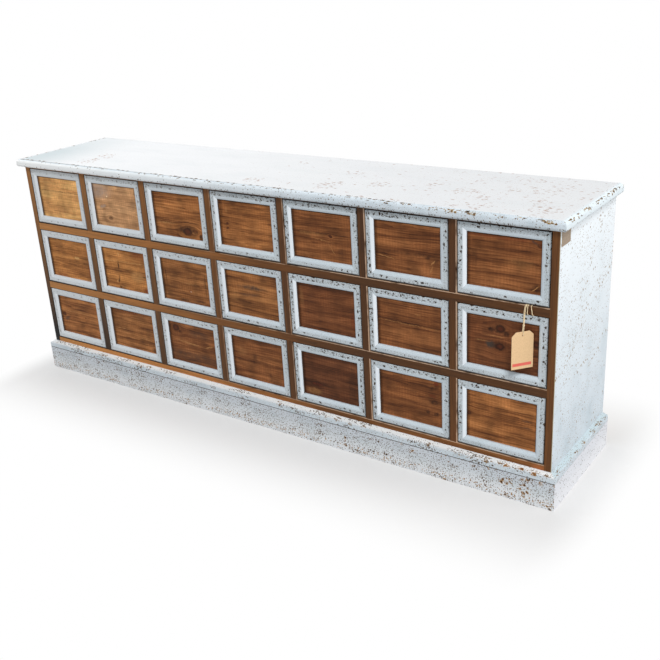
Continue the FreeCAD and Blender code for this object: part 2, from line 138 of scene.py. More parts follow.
# Node building
MODES = {"Math": "operation", "VectorMath": "operation", "Mix": "data_type", "MapRange": "interpolation_type"}


def add(kind, *values, tree=None, stops=(), **named):
    """Adds a node, such as Bump, or Math.ADD with its mode, beside its first source or into the given tree.

    Values fill the inputs in use, in order. A name in lower case is a property. Others are inputs, with _ for
    a space, and From and To take two ends. A node or a socket is linked to its input, and anything else
    becomes the input's own value.
    """
    linked = (bpy.types.Node, bpy.types.NodeSocket)
    sources = [value for value in (*values, *named.values()) if isinstance(value, linked)]
    tree = tree or sources[0].id_data
    kind, _, mode = kind.partition(".")
    node = tree.nodes.new(kind if kind.startswith("NodeGroup") else f"ShaderNode{kind}")
    if mode:
        setattr(node, MODES[kind], mode)
    ramp = node.color_ramp.elements if stops else ()
    while len(ramp) < len(stops):
        ramp.new(0.5)
    for element, (position, shade) in zip(ramp, stops):
        element.position = position
        element.color = shade
    for name, value in named.items():
        if name.islower():
            setattr(node, name, value)
    inputs = list(zip([socket for socket in node.inputs if socket.enabled], values))
    for name, value in named.items():
        if name in ("From", "To"):
            inputs += zip((node.inputs[f"{name} Min"], node.inputs[f"{name} Max"]), value)
        elif not name.islower():
            inputs.append((node.inputs[name.replace("_", " ")], value))
    for socket, value in inputs:
        if isinstance(value, bpy.types.Node):
            value = next(output for output in value.outputs if output.enabled)
        if isinstance(value, bpy.types.NodeSocket):
            tree.links.new(socket, value)
        else:
            socket.default_value = value
    return node


def group_tree(name, inputs, outputs):
    """A node group, and the sockets that it is given. Its Place is a vector, and the others are numbers."""
    tree = bpy.data.node_groups.new(name, "ShaderNodeTree")
    for way, labels in (("INPUT", inputs), ("OUTPUT", outputs)):
        for label in labels:
            kind = "NodeSocketVector" if label == "Place" else "NodeSocketFloat"
            tree.interface.new_socket(label, in_out=way, socket_type=kind)
    return tree, add("NodeGroupInput", tree=tree).outputs[:len(inputs)]


def chips_group():
    """Flakes of lost paint over a flat place in millimetres: 0 on sound paint, up to 1 inside a flake.

    Reach is a large flake's radius, and Order is how far the flakes stray from an even grid.
    """
    tree, given = group_tree("paint_chips", ("Place", "Spacing", "Reach", "Share", "Order"), ("Depth",))
    place, spacing, reach, share, order = given
    detail = add("Math.DIVIDE", 0.8, reach)
    rough = add("TexNoise", Vector=place, Scale=detail, Detail=3, Roughness=0.7)
    centred = add("VectorMath.SUBTRACT", rough.outputs["Color"], (0.5, 0.5, 0.5))
    ragged = product(reach, 3.2)
    push = add("VectorMath.SCALE", centred, ragged)
    pushed = add("VectorMath.ADD", place, push)
    inverse = add("Math.DIVIDE", 1, spacing)
    cells = add("TexVoronoi", voronoi_dimensions="2D", Vector=pushed, Scale=inverse, Randomness=order)
    chance, size, _ = add("SeparateColor", cells.outputs["Color"]).outputs
    there = add("Math.LESS_THAN", chance, share)
    radius = product(add("MapRange", size, To_Min=0.4), reach)
    away = product(cells.outputs["Distance"], spacing)
    inside = add("Math.SUBTRACT", radius, away)
    deep = add("Math.DIVIDE", inside, radius, use_clamp=True)
    add("NodeGroupOutput", product(deep, there))
    return tree


def grain_group():
    """Pine grain along X: growth rings cut lengthwise, fine fibres and slow changes of tone."""
    tree, (place, ring) = group_tree("pine_grain", ("Place", "Ring"), ("Rings", "Fibres", "Drift"))
    inverse = add("Math.DIVIDE", 1, ring)
    sized = add("VectorMath.SCALE", place, inverse)
    long = add("VectorMath.MULTIPLY", sized, (0.05, 0.8, 1))
    sway = add("TexNoise", Vector=long, Scale=0.42)
    curved = add("VectorMath.ADD", long, add("CombineXYZ", Z=product(sway, 5)))
    bands = add("TexWave", bands_direction="Z", wave_profile="SAW", Vector=curved, Scale=0.314,
                Distortion=1.2, Detail=3, Detail_Scale=1.3)
    rings = add("Math.POWER", bands.outputs["Fac"], 2.2)
    fine = add("VectorMath.MULTIPLY", place, (0.02, 0.5, 0.5))
    fibres = add("TexNoise", Vector=fine, Scale=1, Detail=4, Roughness=0.65)
    slow = add("VectorMath.MULTIPLY", place, (0.004, 0.05, 0.05))
    drift = add("TexNoise", Vector=slow, Scale=1, Detail=3)
    add("NodeGroupOutput", rings, fibres, drift)
    return tree


def shared(name):
    """A node group, made the first time that it is asked for."""
    makers = {"paint_chips": chips_group, "pine_grain": grain_group}
    return bpy.data.node_groups.get(name) or makers[name]()


def start(name):
    """An empty material, and the object's own place in millimetres."""
    material = bpy.data.materials.new(name)
    material.use_nodes = True
    tree = material.node_tree
    tree.nodes.clear()
    place = add("TexCoord", tree=tree).outputs["Object"]
    return material, add("VectorMath.SCALE", place, 1000)


def finish(material, layer, specular=0.5, sheen=0):
    """Ends a material in one Principled shader. A layer is its colour, roughness and height."""
    shade, rough, height = layer
    bump = add("Bump", Strength=0.6, Distance=0.0006, Height=height)
    shader = add("BsdfPrincipled", Base_Color=shade, Roughness=rough, Normal=bump,
                 Specular_IOR_Level=specular, Sheen_Weight=sheen)
    add("OutputMaterial", shader)
    return material


def product(*factors):
    """The product of sockets and numbers, the first of which is a socket."""
    result = factors[0]
    for factor in factors[1:]:
        result = add("Math.MULTIPLY", result, factor)
    return result


def rest(share):
    """What a share leaves of the whole."""
    return add("Math.SUBTRACT", 1, share)


def over(mask, upper, lower):
    """The upper layer where the mask is 1, and the lower one where it is 0."""
    modes = ("RGBA", "FLOAT", "FLOAT")
    return tuple(add(f"Mix.{mode}", mask, low, high) for mode, low, high in zip(modes, lower, upper))


def tinted(layer, shade, *masks):
    """A layer turned towards a colour by the product of some masks."""
    tint = linear(shade) if isinstance(shade, str) else shade
    return add("Mix.RGBA", product(*masks), layer[0], tint), *layer[1:]


def skin(mm):
    """The painted surface laid flat: along it, up it and over the nosing, 1 on the ends, and then x and z."""
    x, y, z = add("SeparateXYZ", mm).outputs
    past_end = add("Math.SUBTRACT", add("Math.ABSOLUTE", x), SIDE - 0.5)
    past_front = add("Math.SUBTRACT", FACE, y)
    end = add("Math.GREATER_THAN", past_end, past_front)
    proud = add("Math.MAXIMUM", past_end, past_front)
    return add("Mix", end, x, y), add("Math.SUBTRACT", z, proud), end, x, z


def flattened(first, second, stretch=(1, 1)):
    """A flat place from two of its axes, with flakes drawn out along an axis whose stretch is below 1."""
    return add("VectorMath.MULTIPLY", add("CombineXYZ", first, second), (*stretch, 0))


def turned(mm, rotation=(0, 0, 0), shift=(0, 0, 0)):
    """The place after a turn and a shift, so that a board's own length lies along X."""
    return add("Mapping", mm, Location=shift, Rotation=rotation)


def within(socket, low, high, soft=0.3):
    """1 where a number lies between two limits."""
    rise = add("MapRange", socket, From=(low - soft, low + soft))
    fall = add("MapRange", socket, From=(high + soft, high - soft))
    return product(rise, fall)


def milk_paint(flat, tint, brush=0.04, mottle=0.3, grey="#7d766f", cloud=1):
    """Sound milk paint: cloudy in tone, brushed along the board, and peppered where it has rubbed thin."""
    clouds = add("TexNoise", Vector=flat, Scale=0.012, Detail=4, Roughness=0.6)
    dim = scaled(tint, *(1 - fall * cloud for fall in (0.17, 0.13, 0.12)))
    light = scaled(tint, 1 + 0.08 * cloud)
    base = add("ValToRGB", clouds, stops=((0.3, dim), (0.5, tint), (0.75, light)))
    strokes = add("TexNoise", Vector=flat, Scale=0.4, Detail=4, Roughness=0.7)
    streak = add("MapRange", strokes, From=(0.3, 0.7), To=(1 - 3 * brush, 1 + brush))
    brushed = add("VectorMath.SCALE", base, streak)
    shifted = add("VectorMath.ADD", flat, (311, 127, 0))
    specks = add("TexNoise", Vector=shifted, Scale=0.34, Detail=4, Roughness=0.8)
    speckled = add("MapRange", specks, From=(0.5, 0.62), To_Max=mottle)
    rough = add("MapRange", speckled, To=(0.5, 0.75))
    return tinted((brushed, rough, product(strokes, 0.25)), grey, speckled)


def flakes(layer, flat, spacing, reach, shares, rim, core, order=0.85, edge_wide=0.3):
    """Paint lost in flakes over a layer: a rim of undercoat, then the wood. Their shares are multiplied."""
    chip = add("Group", node_tree=shared("paint_chips"), Place=flat, Spacing=spacing, Reach=reach,
               Share=product(*shares), Order=order)
    edge = add("MapRange", chip, From=(0.02, 0.14))
    middle = add("MapRange", chip, From=(edge_wide, edge_wide + 0.14))
    shade, rough, height = tinted(tinted(layer, rim, edge), core, middle)
    return shade, add("Mix", edge, rough, 0.85), add("Math.SUBTRACT", height, edge)


def gathered(flat, spacing, reach, shares, order=0.85):
    """1 inside ragged patches, within which smaller flakes gather. The shares of them are multiplied."""
    patch = add("Group", node_tree=shared("paint_chips"), Place=flat, Spacing=spacing, Reach=reach,
                Share=product(*shares), Order=order)
    return add("MapRange", patch, From=(0.02, 0.1))


def grain_layer(along, dark, mid, light, ring=9, contrast=1):
    """Pine: fibres and growth rings along the first axis of the given place."""
    rings, fibres, drift = add("Group", node_tree=shared("pine_grain"), Place=along, Ring=ring).outputs
    fine = add("Math.MULTIPLY_ADD", fibres, 0.95 * contrast, -0.445 * contrast)
    ringed = add("Math.MULTIPLY_ADD", rings, -0.34 * contrast, fine)
    drifted = add("Math.MULTIPLY_ADD", drift, 1.5 * contrast, ringed)
    level = add("Math.ADD", drifted, 0.64 - 0.78 * contrast)
    shade = add("ValToRGB", level, stops=((0, dark), (0.5, mid), (1, light)))
    return shade, add("MapRange", fibres, To=(0.68, 0.48)), product(fibres, 0.5)


# Drawers
def drawer_place(mm):
    """Across and up from the nearest drawer's middle, the plain axes, and the height over the lowest one."""
    x, y, z = add("SeparateXYZ", mm).outputs
    raised = add("Math.SUBTRACT", z, LOWEST_DRAWER)
    across = add("Math.WRAP", x, COLUMN_PITCH / 2, -COLUMN_PITCH / 2)
    up = add("Math.WRAP", raised, ROW_PITCH / 2, -ROW_PITCH / 2)
    return across, up, (x, y, z), raised


def frame_material():
    """Mitred pine moulding in milk paint: a row of knocks along each strip, fine pepper, few on the bead."""
    material, mm = start("painted_moulding")
    across, up, (x, y, z), raised = drawer_place(mm)
    reach = []
    strips = []
    sides = []
    for socket, half, plain, pitch in ((across, FRONT_HALF_WIDE, x, COLUMN_PITCH),
                                       (up, FRONT_HALF_HIGH, raised, ROW_PITCH)):
        size = add("Math.ABSOLUTE", socket)
        reach.append(add("Math.SUBTRACT", half, size))
        halves = add("Math.DIVIDE", plain, pitch / 2)
        strips.append(add("Math.FLOOR", halves))
        sides.append(add("Math.GREATER_THAN", socket, 0))
    right_side, top_side = sides
    inward = add("Math.MINIMUM", *reach)
    upright = add("Math.LESS_THAN", *reach)
    along = add("Mix", upright, x, z)
    strip = add("Mix", upright, strips[1], strips[0])
    lane = add("Math.MULTIPLY_ADD", strip, 7 * CHIP_STEP, inward)
    centred = add("Math.SUBTRACT", lane, 5.2)
    low_or_high = add("Mix", top_side, 0.3, 0.82)
    left_or_right = add("Mix", right_side, 1, 0.6)
    share = add("Mix", upright, low_or_high, left_or_right)
    patches = add("TexNoise", Vector=mm, Scale=0.0085, Detail=1)
    patchy = add("MapRange", patches, From=(0.32, 0.52), To_Min=0.5)
    rightward = add("MapRange", x, From=(-1000, 500), To_Min=0.55)
    spared = add("MapRange", x, From=(620, 800), To=(1, 0.68))
    flat = add("MapRange", inward, From=(17, 13), To_Min=0.03)
    worn = product(patchy, share, rightward, spared)
    knocks = flattened(along, centred, (0.85, 1))
    pepper = flattened(along, lane, (0.75, 1))
    layer = milk_paint(pepper, settings("paint").front, brush=0.05, mottle=0.7, grey="#77736f")
    layer = flakes(layer, pepper, 5.2, 1.5, (worn, flat, 0.9), "#6a5f54", "#2c2019")
    layer = flakes(layer, pepper, 9.5, 3.1, (worn, flat, 0.55), "#6a5f54", "#2c2019", edge_wide=0.2)
    shade, rough, height = flakes(layer, knocks, CHIP_STEP, 4.9, (worn, flat), "#6a5b48", "#291c13",
                                  order=0.6, edge_wide=0.14)
    clean = add("MapRange", inward, From=(13, 18), To_Max=0.65)
    # Painted highlight: the bead of each drawer's left-hand strip, which faces right, is turned near white,
    # more so towards the right end.
    bead = within(inward, 16, MOULDING_WIDE, 2)
    # Painted light: the mouldings are turned paler towards the left end, for the stronger light there.
    leftward = add("MapRange", x, From=(-950, 250), To=(0.6, 0))
    mitre = within(add("Math.SUBTRACT", *reach), -0.35, 0.35, 0.2)
    # Painted shadow: a dark band on the front face along the outer edge of the bottom strips, fainter on the
    # upright strips, stands in for the shade in the gap round each drawer.
    gap_shadow_sides = add("Mix", upright, rest(top_side), 0.6)
    deep = add("Mix", upright, 4.8, 2.6)
    arris = add("MapRange", inward, From=(deep, 2), To_Max=0.95)
    # Dark brown on the sides of each drawer front and on the inner walls of its upright strips: partly the
    # dark wood there, partly painted shade for the gaps and the recess.
    behind = add("MapRange", y, From=(FACE + 0.8, FACE + 2.5), To_Max=0.95)
    outer = add("Math.LESS_THAN", inward, 1)
    wall = add("Math.GREATER_THAN", inward, MOULDING_WIDE - 0.5)
    walls = add("Math.MAXIMUM", outer, product(wall, upright))
    layer = (shade, rough, height)
    for tint, masks in (("#d2dfe8", (clean,)),
                        ("#eef5fb", (bead, upright, rest(right_side), rightward, 0.8)),
                        ("#dee1e3", (leftward,)),
                        ("#5d5248", (mitre, 0.4)),
                        ("#2a1e16", (arris, gap_shadow_sides)),
                        ("#463020", (behind, walls))):
        layer = tinted(layer, tint, *masks)
    return finish(material, layer, specular=0.3)


# Stains by name, and the tones of the marks in them
STAINS = {
    "honey": "#d59d6c",
    "ash": "#be9070",
    "amber": "#a87044",
    "chestnut": "#98623d",
    "oak": "#8c5b39",
    "umber": "#7a4b2f",
    "walnut": "#6c4029",
    "mahogany": "#5b3523",
}
MARK_TONES = {
    "dark": "#2c170c",
    "red": "#6a2b17",
    "grey": "#40362f",
    "lilac": "#a9978c",
    "bright": "#e2b878",
    "pale": "#bf8a54",
}
# Each drawer panel from the top left: its stain, its knots as across, up, radius and strength (below 0 for
# a pale one), and its marks as across, up, half width, half height, slant if any, tone and strength.
PANELS = (
    # The two left panels of the top row, in honey and ash, are partly painted sheen: their stains are lighter
    # than the wood's own tone, for the gloss seen on them at a grazing angle.
    ("honey", (), (
        (0, 26, 220, 1.8, "dark", 0.5), (0, 21, 220, 1.8, "bright", 0.5), (0, 41, 160, 1.5, "dark", 0.3),
        (0, 57, 190, 1.4, "dark", 0.25), (-10, -55, 60, 20, "red", 0.15),
    )),
    ("ash", ((-44, 33, 3, -1), (-36, -47, 8, 0.6)), (
        (-85, 52, 90, 40, "lilac", 0.5), (-70, -8, 26, 15, 15, "dark", 0.3),
        (-68, -5, 19, 8, 15, "lilac", 0.7), (104, 55, 6, 30, "dark", 0.5),
        (-104, -76, 30, 8, "dark", 0.4),
    )),
    ("chestnut", ((38, -54, 15, 0.85), (74, -50, 9, 0.5)), (
        (30, -48, 62, 26, "dark", 0.6), (0, -22, 220, 2, "dark", 0.55), (-60, -32, 60, 5, "pale", 0.4),
        (0, 25, 220, 1.6, "pale", 0.4), (102, -68, 18, 16, "dark", 0.7),
    )),
    ("chestnut", ((-80, -2, 4, 0.8), (-80, -18, 5, 0.7)), (
        (-101, 60, 9, 60, "dark", 0.5), (-80, 45, 8, 14, "pale", 0.2), (0, -20, 220, 1.5, "dark", 0.2),
    )),
    ("umber", ((31, 3, 5, 0.9),), (
        (-10, 10, 200, 1.8, "dark", 0.6), (0, -12, 60, 1.6, -8, "pale", 0.4),
        (35, -40, 36, 2, -57, "pale", 0.4), (72, -46, 22, 26, "dark", 0.4), (-45, 4, 70, 9, "pale", 0.2),
    )),
    ("umber", (), (
        (0, -15, 220, 7, "dark", 0.4), (-75, -33, 46, 2, -8, "pale", 0.5),
        (-72, -24, 50, 1.6, -6, "dark", 0.6), (95, -25, 16, 10, 30, "dark", 0.4),
        (66, -20, 12, 6, "dark", 0.6), (84, -32, 14, 3, 40, "pale", 0.6),
        (78, -54, 18, 3, 70, "pale", 0.4),
    )),
    ("umber", ((104, 62, 7, 0.6),), (
        (0, 70, 220, 6, "red", 0.35), (88, 68, 16, 5, -25, "grey", 0.6), (-90, 5, 18, 34, "dark", 0.4),
        (60, 10, 60, 1.5, "dark", 0.6), (50, 2, 60, 20, "pale", 0.14), (60, 40, 50, 1.8, 10, "dark", 0.5),
        (-60, 34, 60, 1.6, 2, "dark", 0.4), (96, -62, 22, 20, "dark", 0.6),
        (92, -64, 20, 1.9, 39, "pale", 0.7),
    )),
    ("amber", (), (
        (40, 9, 17, 7, "bright", 0.6), (104, -40, 8, 60, "red", 0.55), (-60, -72, 44, 9, "red", 0.4),
    )),
    ("amber", (), (
        (80, 64, 54, 22, "red", 0.5), (60, -18, 50, 30, "bright", 0.16), (98, -70, 24, 14, "red", 0.65),
        (0, 30, 220, 1.4, 2, "bright", 0.35), (-28, 58, 6, 9, "bright", 0.5),
        (-35, 14, 5.5, 22, "dark", 0.95), (-40, -42, 5.5, 24, -12, "dark", 0.75),
        (-50, -50, 4, 7, "bright", 0.5), (-36, -72, 12, 6, "dark", 0.7),
    )),
    ("oak", ((20, -34, 3, -0.35),), (
        (19, -33, 12, 8, "red", 0.6), (-10, -70, 42, 6, "dark", 0.6), (60, -67, 46, 5, "dark", 0.5),
        (-94, 10, 5, 44, "dark", 0.5), (93, 0, 4, 54, "dark", 0.5), (10, -5, 60, 3, -3, "pale", 0.4),
    )),
    ("oak", (), (
        (0, 25, 80, 11, "grey", 0.6), (-10, -2, 64, 9, 5, "grey", 0.35), (-80, -10, 30, 34, "pale", 0.15),
    )),
    ("walnut", (), (
        (101, -20, 14, 40, "red", 0.4), (-97, 20, 13, 60, "pale", 0.12), (0, 70, 220, 6, "dark", 0.3),
    )),
    ("umber", (), (
        (0, 8, 220, 1.8, -1, "dark", 0.7), (0, 3, 220, 2, -1, "pale", 0.3), (30, 40, 13, 2, "pale", 0.5),
        (0, 60, 220, 1.6, "dark", 0.3),
    )),
    ("walnut", ((-8, 45, 12, 0.85), (-8, -9, 11, 0.95), (101, 17, 9, 0.9)), (
        (-37, -8, 22, 17, "grey", 0.85), (-36, 40, 15, 13, "dark", 0.8), (12, 33, 14, 12, "dark", 0.7),
        (-12, 46, 26, 20, "dark", 0.5), (-14, -10, 28, 18, "dark", 0.5), (103, 16, 18, 16, "dark", 0.5),
        (-20, 20, 44, 2.2, "pale", 0.35), (0, -60, 220, 6, "dark", 0.35), (-66, 0, 30, 3, "pale", 0.3),
    )),
    ("chestnut", ((-95, 0, 9, 0.8), (31, -1, 4, 0.5)), (
        (-80, -18, 24, 11, 25, "grey", 0.55), (0, 16, 220, 2.2, -1, "pale", 0.4),
    )),
    ("oak", (), (
        (-70, -3, 42, 2.4, "pale", 0.55), (60, -27, 52, 2.4, -3, "pale", 0.55),
        (0, 68, 120, 6, "red", 0.35), (100, -66, 16, 14, "dark", 0.5),
    )),
    ("umber", ((-78, 54, 13, 0.85),), (
        (-57, 40, 13, 10, -20, "dark", 0.6), (0, -50, 220, 30, "grey", 0.35),
        (40, 42, 80, 20, "grey", 0.3), (-20, 2, 90, 4, -4, "pale", 0.5), (80, 4, 30, 4, 18, "pale", 0.5),
    )),
    ("umber", (), (
        (0, -6, 220, 1.6, "dark", 0.5), (-15, 0, 15, 34, "dark", 0.3), (50, -55, 11, 22, "dark", 0.4),
        (-70, 20, 30, 22, "pale", 0.14), (0, 70, 220, 9, "dark", 0.3),
    )),
    ("mahogany", ((-55, -33, 6, 0.5),), (
        (-55, -33, 28, 6, "red", 0.6), (-20, -30, 80, 8, "dark", 0.45), (86, -10, 24, 90, "dark", 0.4),
        (-70, -62, 42, 17, "pale", 0.3), (0, 27, 120, 1.7, -2, "dark", 0.45),
    )),
    ("umber", (), (
        (82, 52, 26, 10, 25, "dark", 0.7), (90, 68, 12, 9, 30, "red", 0.8),
        (84, 4, 28, 11, 10, "dark", 0.65), (60, -34, 10, 8, "dark", 0.7), (90, -36, 14, 10, "dark", 0.7),
        (76, 24, 16, 7, "red", 0.5), (0, 27, 60, 1.6, "dark", 0.4),
    )),
    ("chestnut", ((-106, 0, 6, 0.7),), (
        (80, 14, 26, 3.4, "grey", 0.5), (80, -8, 26, 4.4, "grey", 0.5), (0, 35, 220, 2.2, 1, "dark", 0.4),
    )),
)


def smudge(own, across, up, wide, high, slant=0):
    """1 in the middle of a slanting oval on a drawer's panel, falling to 0 at its rim."""
    oval = add("Mapping", own, vector_type="TEXTURE", Location=(across, 0, up),
               Rotation=(0, -math.radians(slant), 0), Scale=(wide, 10000, high))
    far = add("VectorMath.LENGTH", oval)
    return add("MapRange.SMOOTHSTEP", far, From_Min=0.3, To=(1, 0))


def corner_shade(own):
    """The shadow that the moulding throws on its panel: along the top, and softer at the two ends."""
    x, _, z = add("SeparateXYZ", own).outputs
    inner = FRONT_HALF_WIDE - MOULDING_WIDE
    rise = FRONT_HALF_HIGH - MOULDING_WIDE
    top = add("MapRange", z, From=(rise - 5.5, rise - 2.5), To=(1, 0.22))
    right = add("MapRange", x, From=(inner - 4, inner - 1.5), To=(1, 0.4))
    left = add("MapRange.SMOOTHSTEP", x, From=(1 - inner, 13 - inner), To_Min=0.5)
    return product(top, right, left)


def tone_shades(code):
    """Dark, middle and light of one stain: redder where it is dark and more golden where it is light."""
    stain = linear(code)
    return scaled(stain, 0.34, 0.28, 0.21), scaled(stain, 0.98, 0.94, 0.74), scaled(stain, 1.74, 1.84, 1.55)


def panel_material(row, column):
    """Drawer behind its moulding: stained pine panel with knots and marks, and bare pine everywhere else."""
    drawer = (row - 1) * COLUMNS + column
    stain, knots, marks = PANELS[drawer - 1]
    material, mm = start(f"drawer_pine_r{row}c{column}")
    middle = (COLUMN_PITCH * (column - 4), 0, LOWEST_DRAWER + ROW_PITCH * (ROWS - row))
    own = add("VectorMath.SUBTRACT", mm, middle)
    rough_edge = add("TexNoise", Vector=own, Scale=0.07, Detail=3, Roughness=0.7)
    centred = add("VectorMath.SUBTRACT", rough_edge.outputs["Color"], (0.5, 0.5, 0.5))
    push = add("VectorMath.SCALE", centred, 11)
    loose = add("VectorMath.ADD", own, push)
    place = own
    discs = []
    for across, up, radius, strength in knots:
        away = add("VectorMath.SUBTRACT", loose, (across, FACE + PANEL_BACK, up))
        oval = add("VectorMath.MULTIPLY", away, (0.75, 0, 1))
        far = add("VectorMath.LENGTH", oval)
        discs.append((far, radius, strength))
        if strength > 0:
            bend = add("MapRange.SMOOTHSTEP", far, From_Max=radius * 4.2, To=(radius * 1.35, 0))
            way = add("VectorMath.NORMALIZE", oval)
            aside = add("VectorMath.SCALE", way, bend)
            place = add("VectorMath.SUBTRACT", place, aside)
    board = turned(place, shift=(drawer * 730, drawer * 91, drawer * 137))
    contrast = 0.75 if stain in ("honey", "ash") else 1.25
    shade, rough, height = grain_layer(board, *tone_shades(STAINS[stain]), 6.5 + drawer % 4 * 1.5, contrast)
    upright = add("VectorMath.MULTIPLY", loose, (1, 1, 0.3))
    ripple = add("TexWave", Vector=upright, Scale=0.03, Distortion=6, Detail=2, Detail_Scale=0.7)
    blotch = add("TexNoise", Vector=board, Scale=0.022, Detail=3)
    deep = add("MapRange", blotch, From=(0.4, 0.65), To=(1, 0.84))
    milled = add("MapRange", ripple.outputs["Fac"], To=(deep, 1.02))
    blotched = add("MapRange", blotch, From=(0.3, 0.7), To=(0.62, 1.32))
    tone = product(milled, blotched, corner_shade(own))
    layer = (add("VectorMath.SCALE", shade, tone), rough, height)
    uneven = add("MapRange", rough_edge, From=(0.36, 0.6), To=(0.55, 1.3))
    for *oval, tone, strength in marks:
        layer = tinted(layer, MARK_TONES[tone], smudge(loose, *oval), uneven, strength)
    for far, radius, strength in discs:
        knot = add("MapRange.SMOOTHSTEP", far, From=(radius * 0.7, radius * 1.2), To=(1, 0))
        if strength < 0:
            layer = tinted(layer, "#f0d8b4", knot, -strength)
        else:
            heart = add("MapRange", far, From=(radius * 0.3, radius * 0.85), To=(1, 0))
            layer = tinted(layer, "#200f07", knot, strength)
            layer = tinted(layer, "#6b331c", heart, strength * 0.5)
    depth = add("SeparateXYZ", mm).outputs["Y"]
    front = add("Math.LESS_THAN", depth, FACE + PANEL_BACK + 0.6)
    return finish(material, over(front, layer, bare_layer(mm, drawer)), specular=0.15)


def bare_layer(mm, seed=0):
    """Planed pine whose grain runs along each board: along Y on boards that face sideways, else along X."""
    facing = add("SeparateXYZ", add("TexCoord", tree=mm.id_data).outputs["Normal"]).outputs["X"]
    size = add("Math.ABSOLUTE", facing)
    sideways = add("Math.GREATER_THAN", size, 0.6)
    board = add("Mix.VECTOR", sideways, mm, turned(mm, LENGTHWISE))
    moved = turned(board, shift=(seed * 511, 0, seed * 67))
    bare = settings("wood").bare
    return grain_layer(moved, scaled(bare, 0.62, 0.5, 0.4), bare, scaled(bare, 1.25), ring=14, contrast=0.8)


def bare_material():
    material, mm = start("bare_pine")
    return finish(material, bare_layer(mm))


# Face frame
def frame_wood(along, axes, left, right, foot_left, foot_right, rise):
    """Stained pine of the face frame, with painted light and shade: brightness scaled from its left end to
    its right and from its foot to a rise, and darkened behind its front face, in the gaps.
    """
    x, y, z = axes
    stain = settings("wood").stain
    layer = grain_layer(along, scaled(stain, 0.5), stain, scaled(stain, 1.6), ring=12, contrast=0.9)
    # Painted light: lighter and more golden towards the left end, partly a change in the stain and partly
    # painted sheen and light falloff.
    fade = add("MapRange", x, From=(-SIDE, 300), To=(left, right))
    golden = add("MapRange", x, From=(-SIDE, 200), To=(0.55, 0))
    shade, rough, height = tinted(layer, "#5e4427", golden)
    foot = add("MapRange", x, From=(-SIDE, SIDE), To=(foot_left, foot_right))
    # Painted light and shade: brightness scaled from the foot up to the rise.
    upward = add("MapRange", z, From=(SILL, rise), To_Min=foot)
    # Painted shade: faces behind the front face, in the gaps round the drawers, are darkened to a tenth.
    inside = add("MapRange", y, From=(FACE + 0.4, FACE + 1.6), To=(1, 0.1))
    toned = add("VectorMath.SCALE", shade, product(fade, upward, inside))
    return toned, rough, height


def rubbed(mm, axes, layer, edge, low, high):
    """Pale wood along an arris of the face frame, clearer towards the right end: partly rubbed bare wood and
    partly a painted highlight where light catches the arris.
    """
    strip = within(edge, low, high, 0.4)
    front = add("Math.LESS_THAN", axes[1], FACE + 6)
    breaks = add("TexNoise", Vector=mm, Scale=0.02, Detail=3)
    patchy = add("MapRange", breaks, From=(0.3, 0.5))
    rightward = add("MapRange", axes[0], From=(-500, 500), To=(0.05, 0.85))
    return tinted(layer, settings("wood").arris, strip, front, patchy, rightward)


def rail_material():
    """Stained pine rails, grain lengthwise, pale along their upper arris, orange at a place on the sill."""
    material, mm = start("stained_rail")
    _, up, axes, _ = drawer_place(mm)
    layer = frame_wood(mm, axes, 3.5, 0.5, 1.15, 2.9, 250)
    below = add("Math.ADD", up, ROW_PITCH / 2)
    layer = rubbed(mm, axes, layer, below, 11, 14.5)
    squeezed = add("VectorMath.MULTIPLY", mm, (0.4, 1, 1))
    far = add("VectorMath.DISTANCE", squeezed, (415, FACE, 122))
    orange = add("MapRange.SMOOTHSTEP", far, From=(2, 12), To=(0.6, 0))
    return finish(material, tinted(layer, "#b5683a", orange), specular=0.25)


def muntin_material():
    """Stained pine muntins, grain upright, pale along the arris at their right."""
    material, mm = start("stained_muntin")
    across, _, axes, _ = drawer_place(mm)
    layer = frame_wood(turned(mm, UPRIGHT), axes, 2.4, 0.48, -0.2, 1.9, 780)
    past = add("Math.ADD", across, COLUMN_PITCH / 2)
    return finish(material, rubbed(mm, axes, layer, past, 9.2, 12.6), specular=0.25)


def stile_material():
    """End stiles: stained in front, and painted with the side panels on their outer faces."""
    material, mm = start("stained_stile")
    axes = add("SeparateXYZ", mm).outputs
    layer = frame_wood(turned(mm, UPRIGHT), axes, 2.7, 0.94, -0.05, 0.85, 850)
    arris = add("MapRange", axes[0], From=(SIDE - 3.2, SIDE - 2.2), To_Max=0.65)
    layer = tinted(layer, "#cfc4a4", arris)
    return finish(material, over(outside(axes[0]), side_layer(mm, axes), layer), specular=0.25)


# Painted case
TRAILS = ((-0.5, 0.87, 468), (0, 1, 372), (-0.8, 0.6, 386))


def outside(x):
    """1 on the outer faces of the case sides."""
    out = add("Math.ABSOLUTE", x)
    return add("Math.GREATER_THAN", out, SIDE - 0.9)


def side_layer(mm, axes):
    """Paint on the case sides: fine flecks, and a few slanting trails of knocks."""
    _, y, z = axes
    flat = flattened(y, z, (1, 0.75))
    patches = add("TexNoise", Vector=mm, Scale=0.0075)
    share = add("MapRange", patches, From=(0.4, 0.62), To=(0.15, 0.6))
    wobble = add("MapRange", patches, From=(0.3, 0.7), To=(-60, 60))
    trail = 0
    for back, up, offset in TRAILS:
        slope = add("VectorMath.DOT_PRODUCT", mm, (0, back, up))
        near = within(add("Math.ADD", slope, wobble), offset - 9, offset + 9, 3)
        trail = add("Math.MAXIMUM", near, trail)
    # Painted light: the sides are turned paler towards the top.
    higher = add("MapRange", z, From=(200, 800), To_Max=0.75)
    layer = milk_paint(flat, settings("paint").case, brush=0.03, mottle=0.22, grey="#9b8f84")
    layer = tinted(layer, "#f6fbfe", higher)
    layer = flakes(layer, flat, 6.5, 1.5, (share,), "#b5aaa0", "#8a7867")
    layer = flakes(layer, flat, 15, 2.8, (share, 0.4), "#b1a08e", "#85705c")
    return flakes(layer, flat, 12, 3.6, (trail, 0.8), "#b39f86", "#86694c")


def side_material():
    material, mm = start("painted_side")
    axes = add("SeparateXYZ", mm).outputs
    layer = over(outside(axes[0]), side_layer(mm, axes), bare_layer(mm))
    return finish(material, layer, specular=0.35)


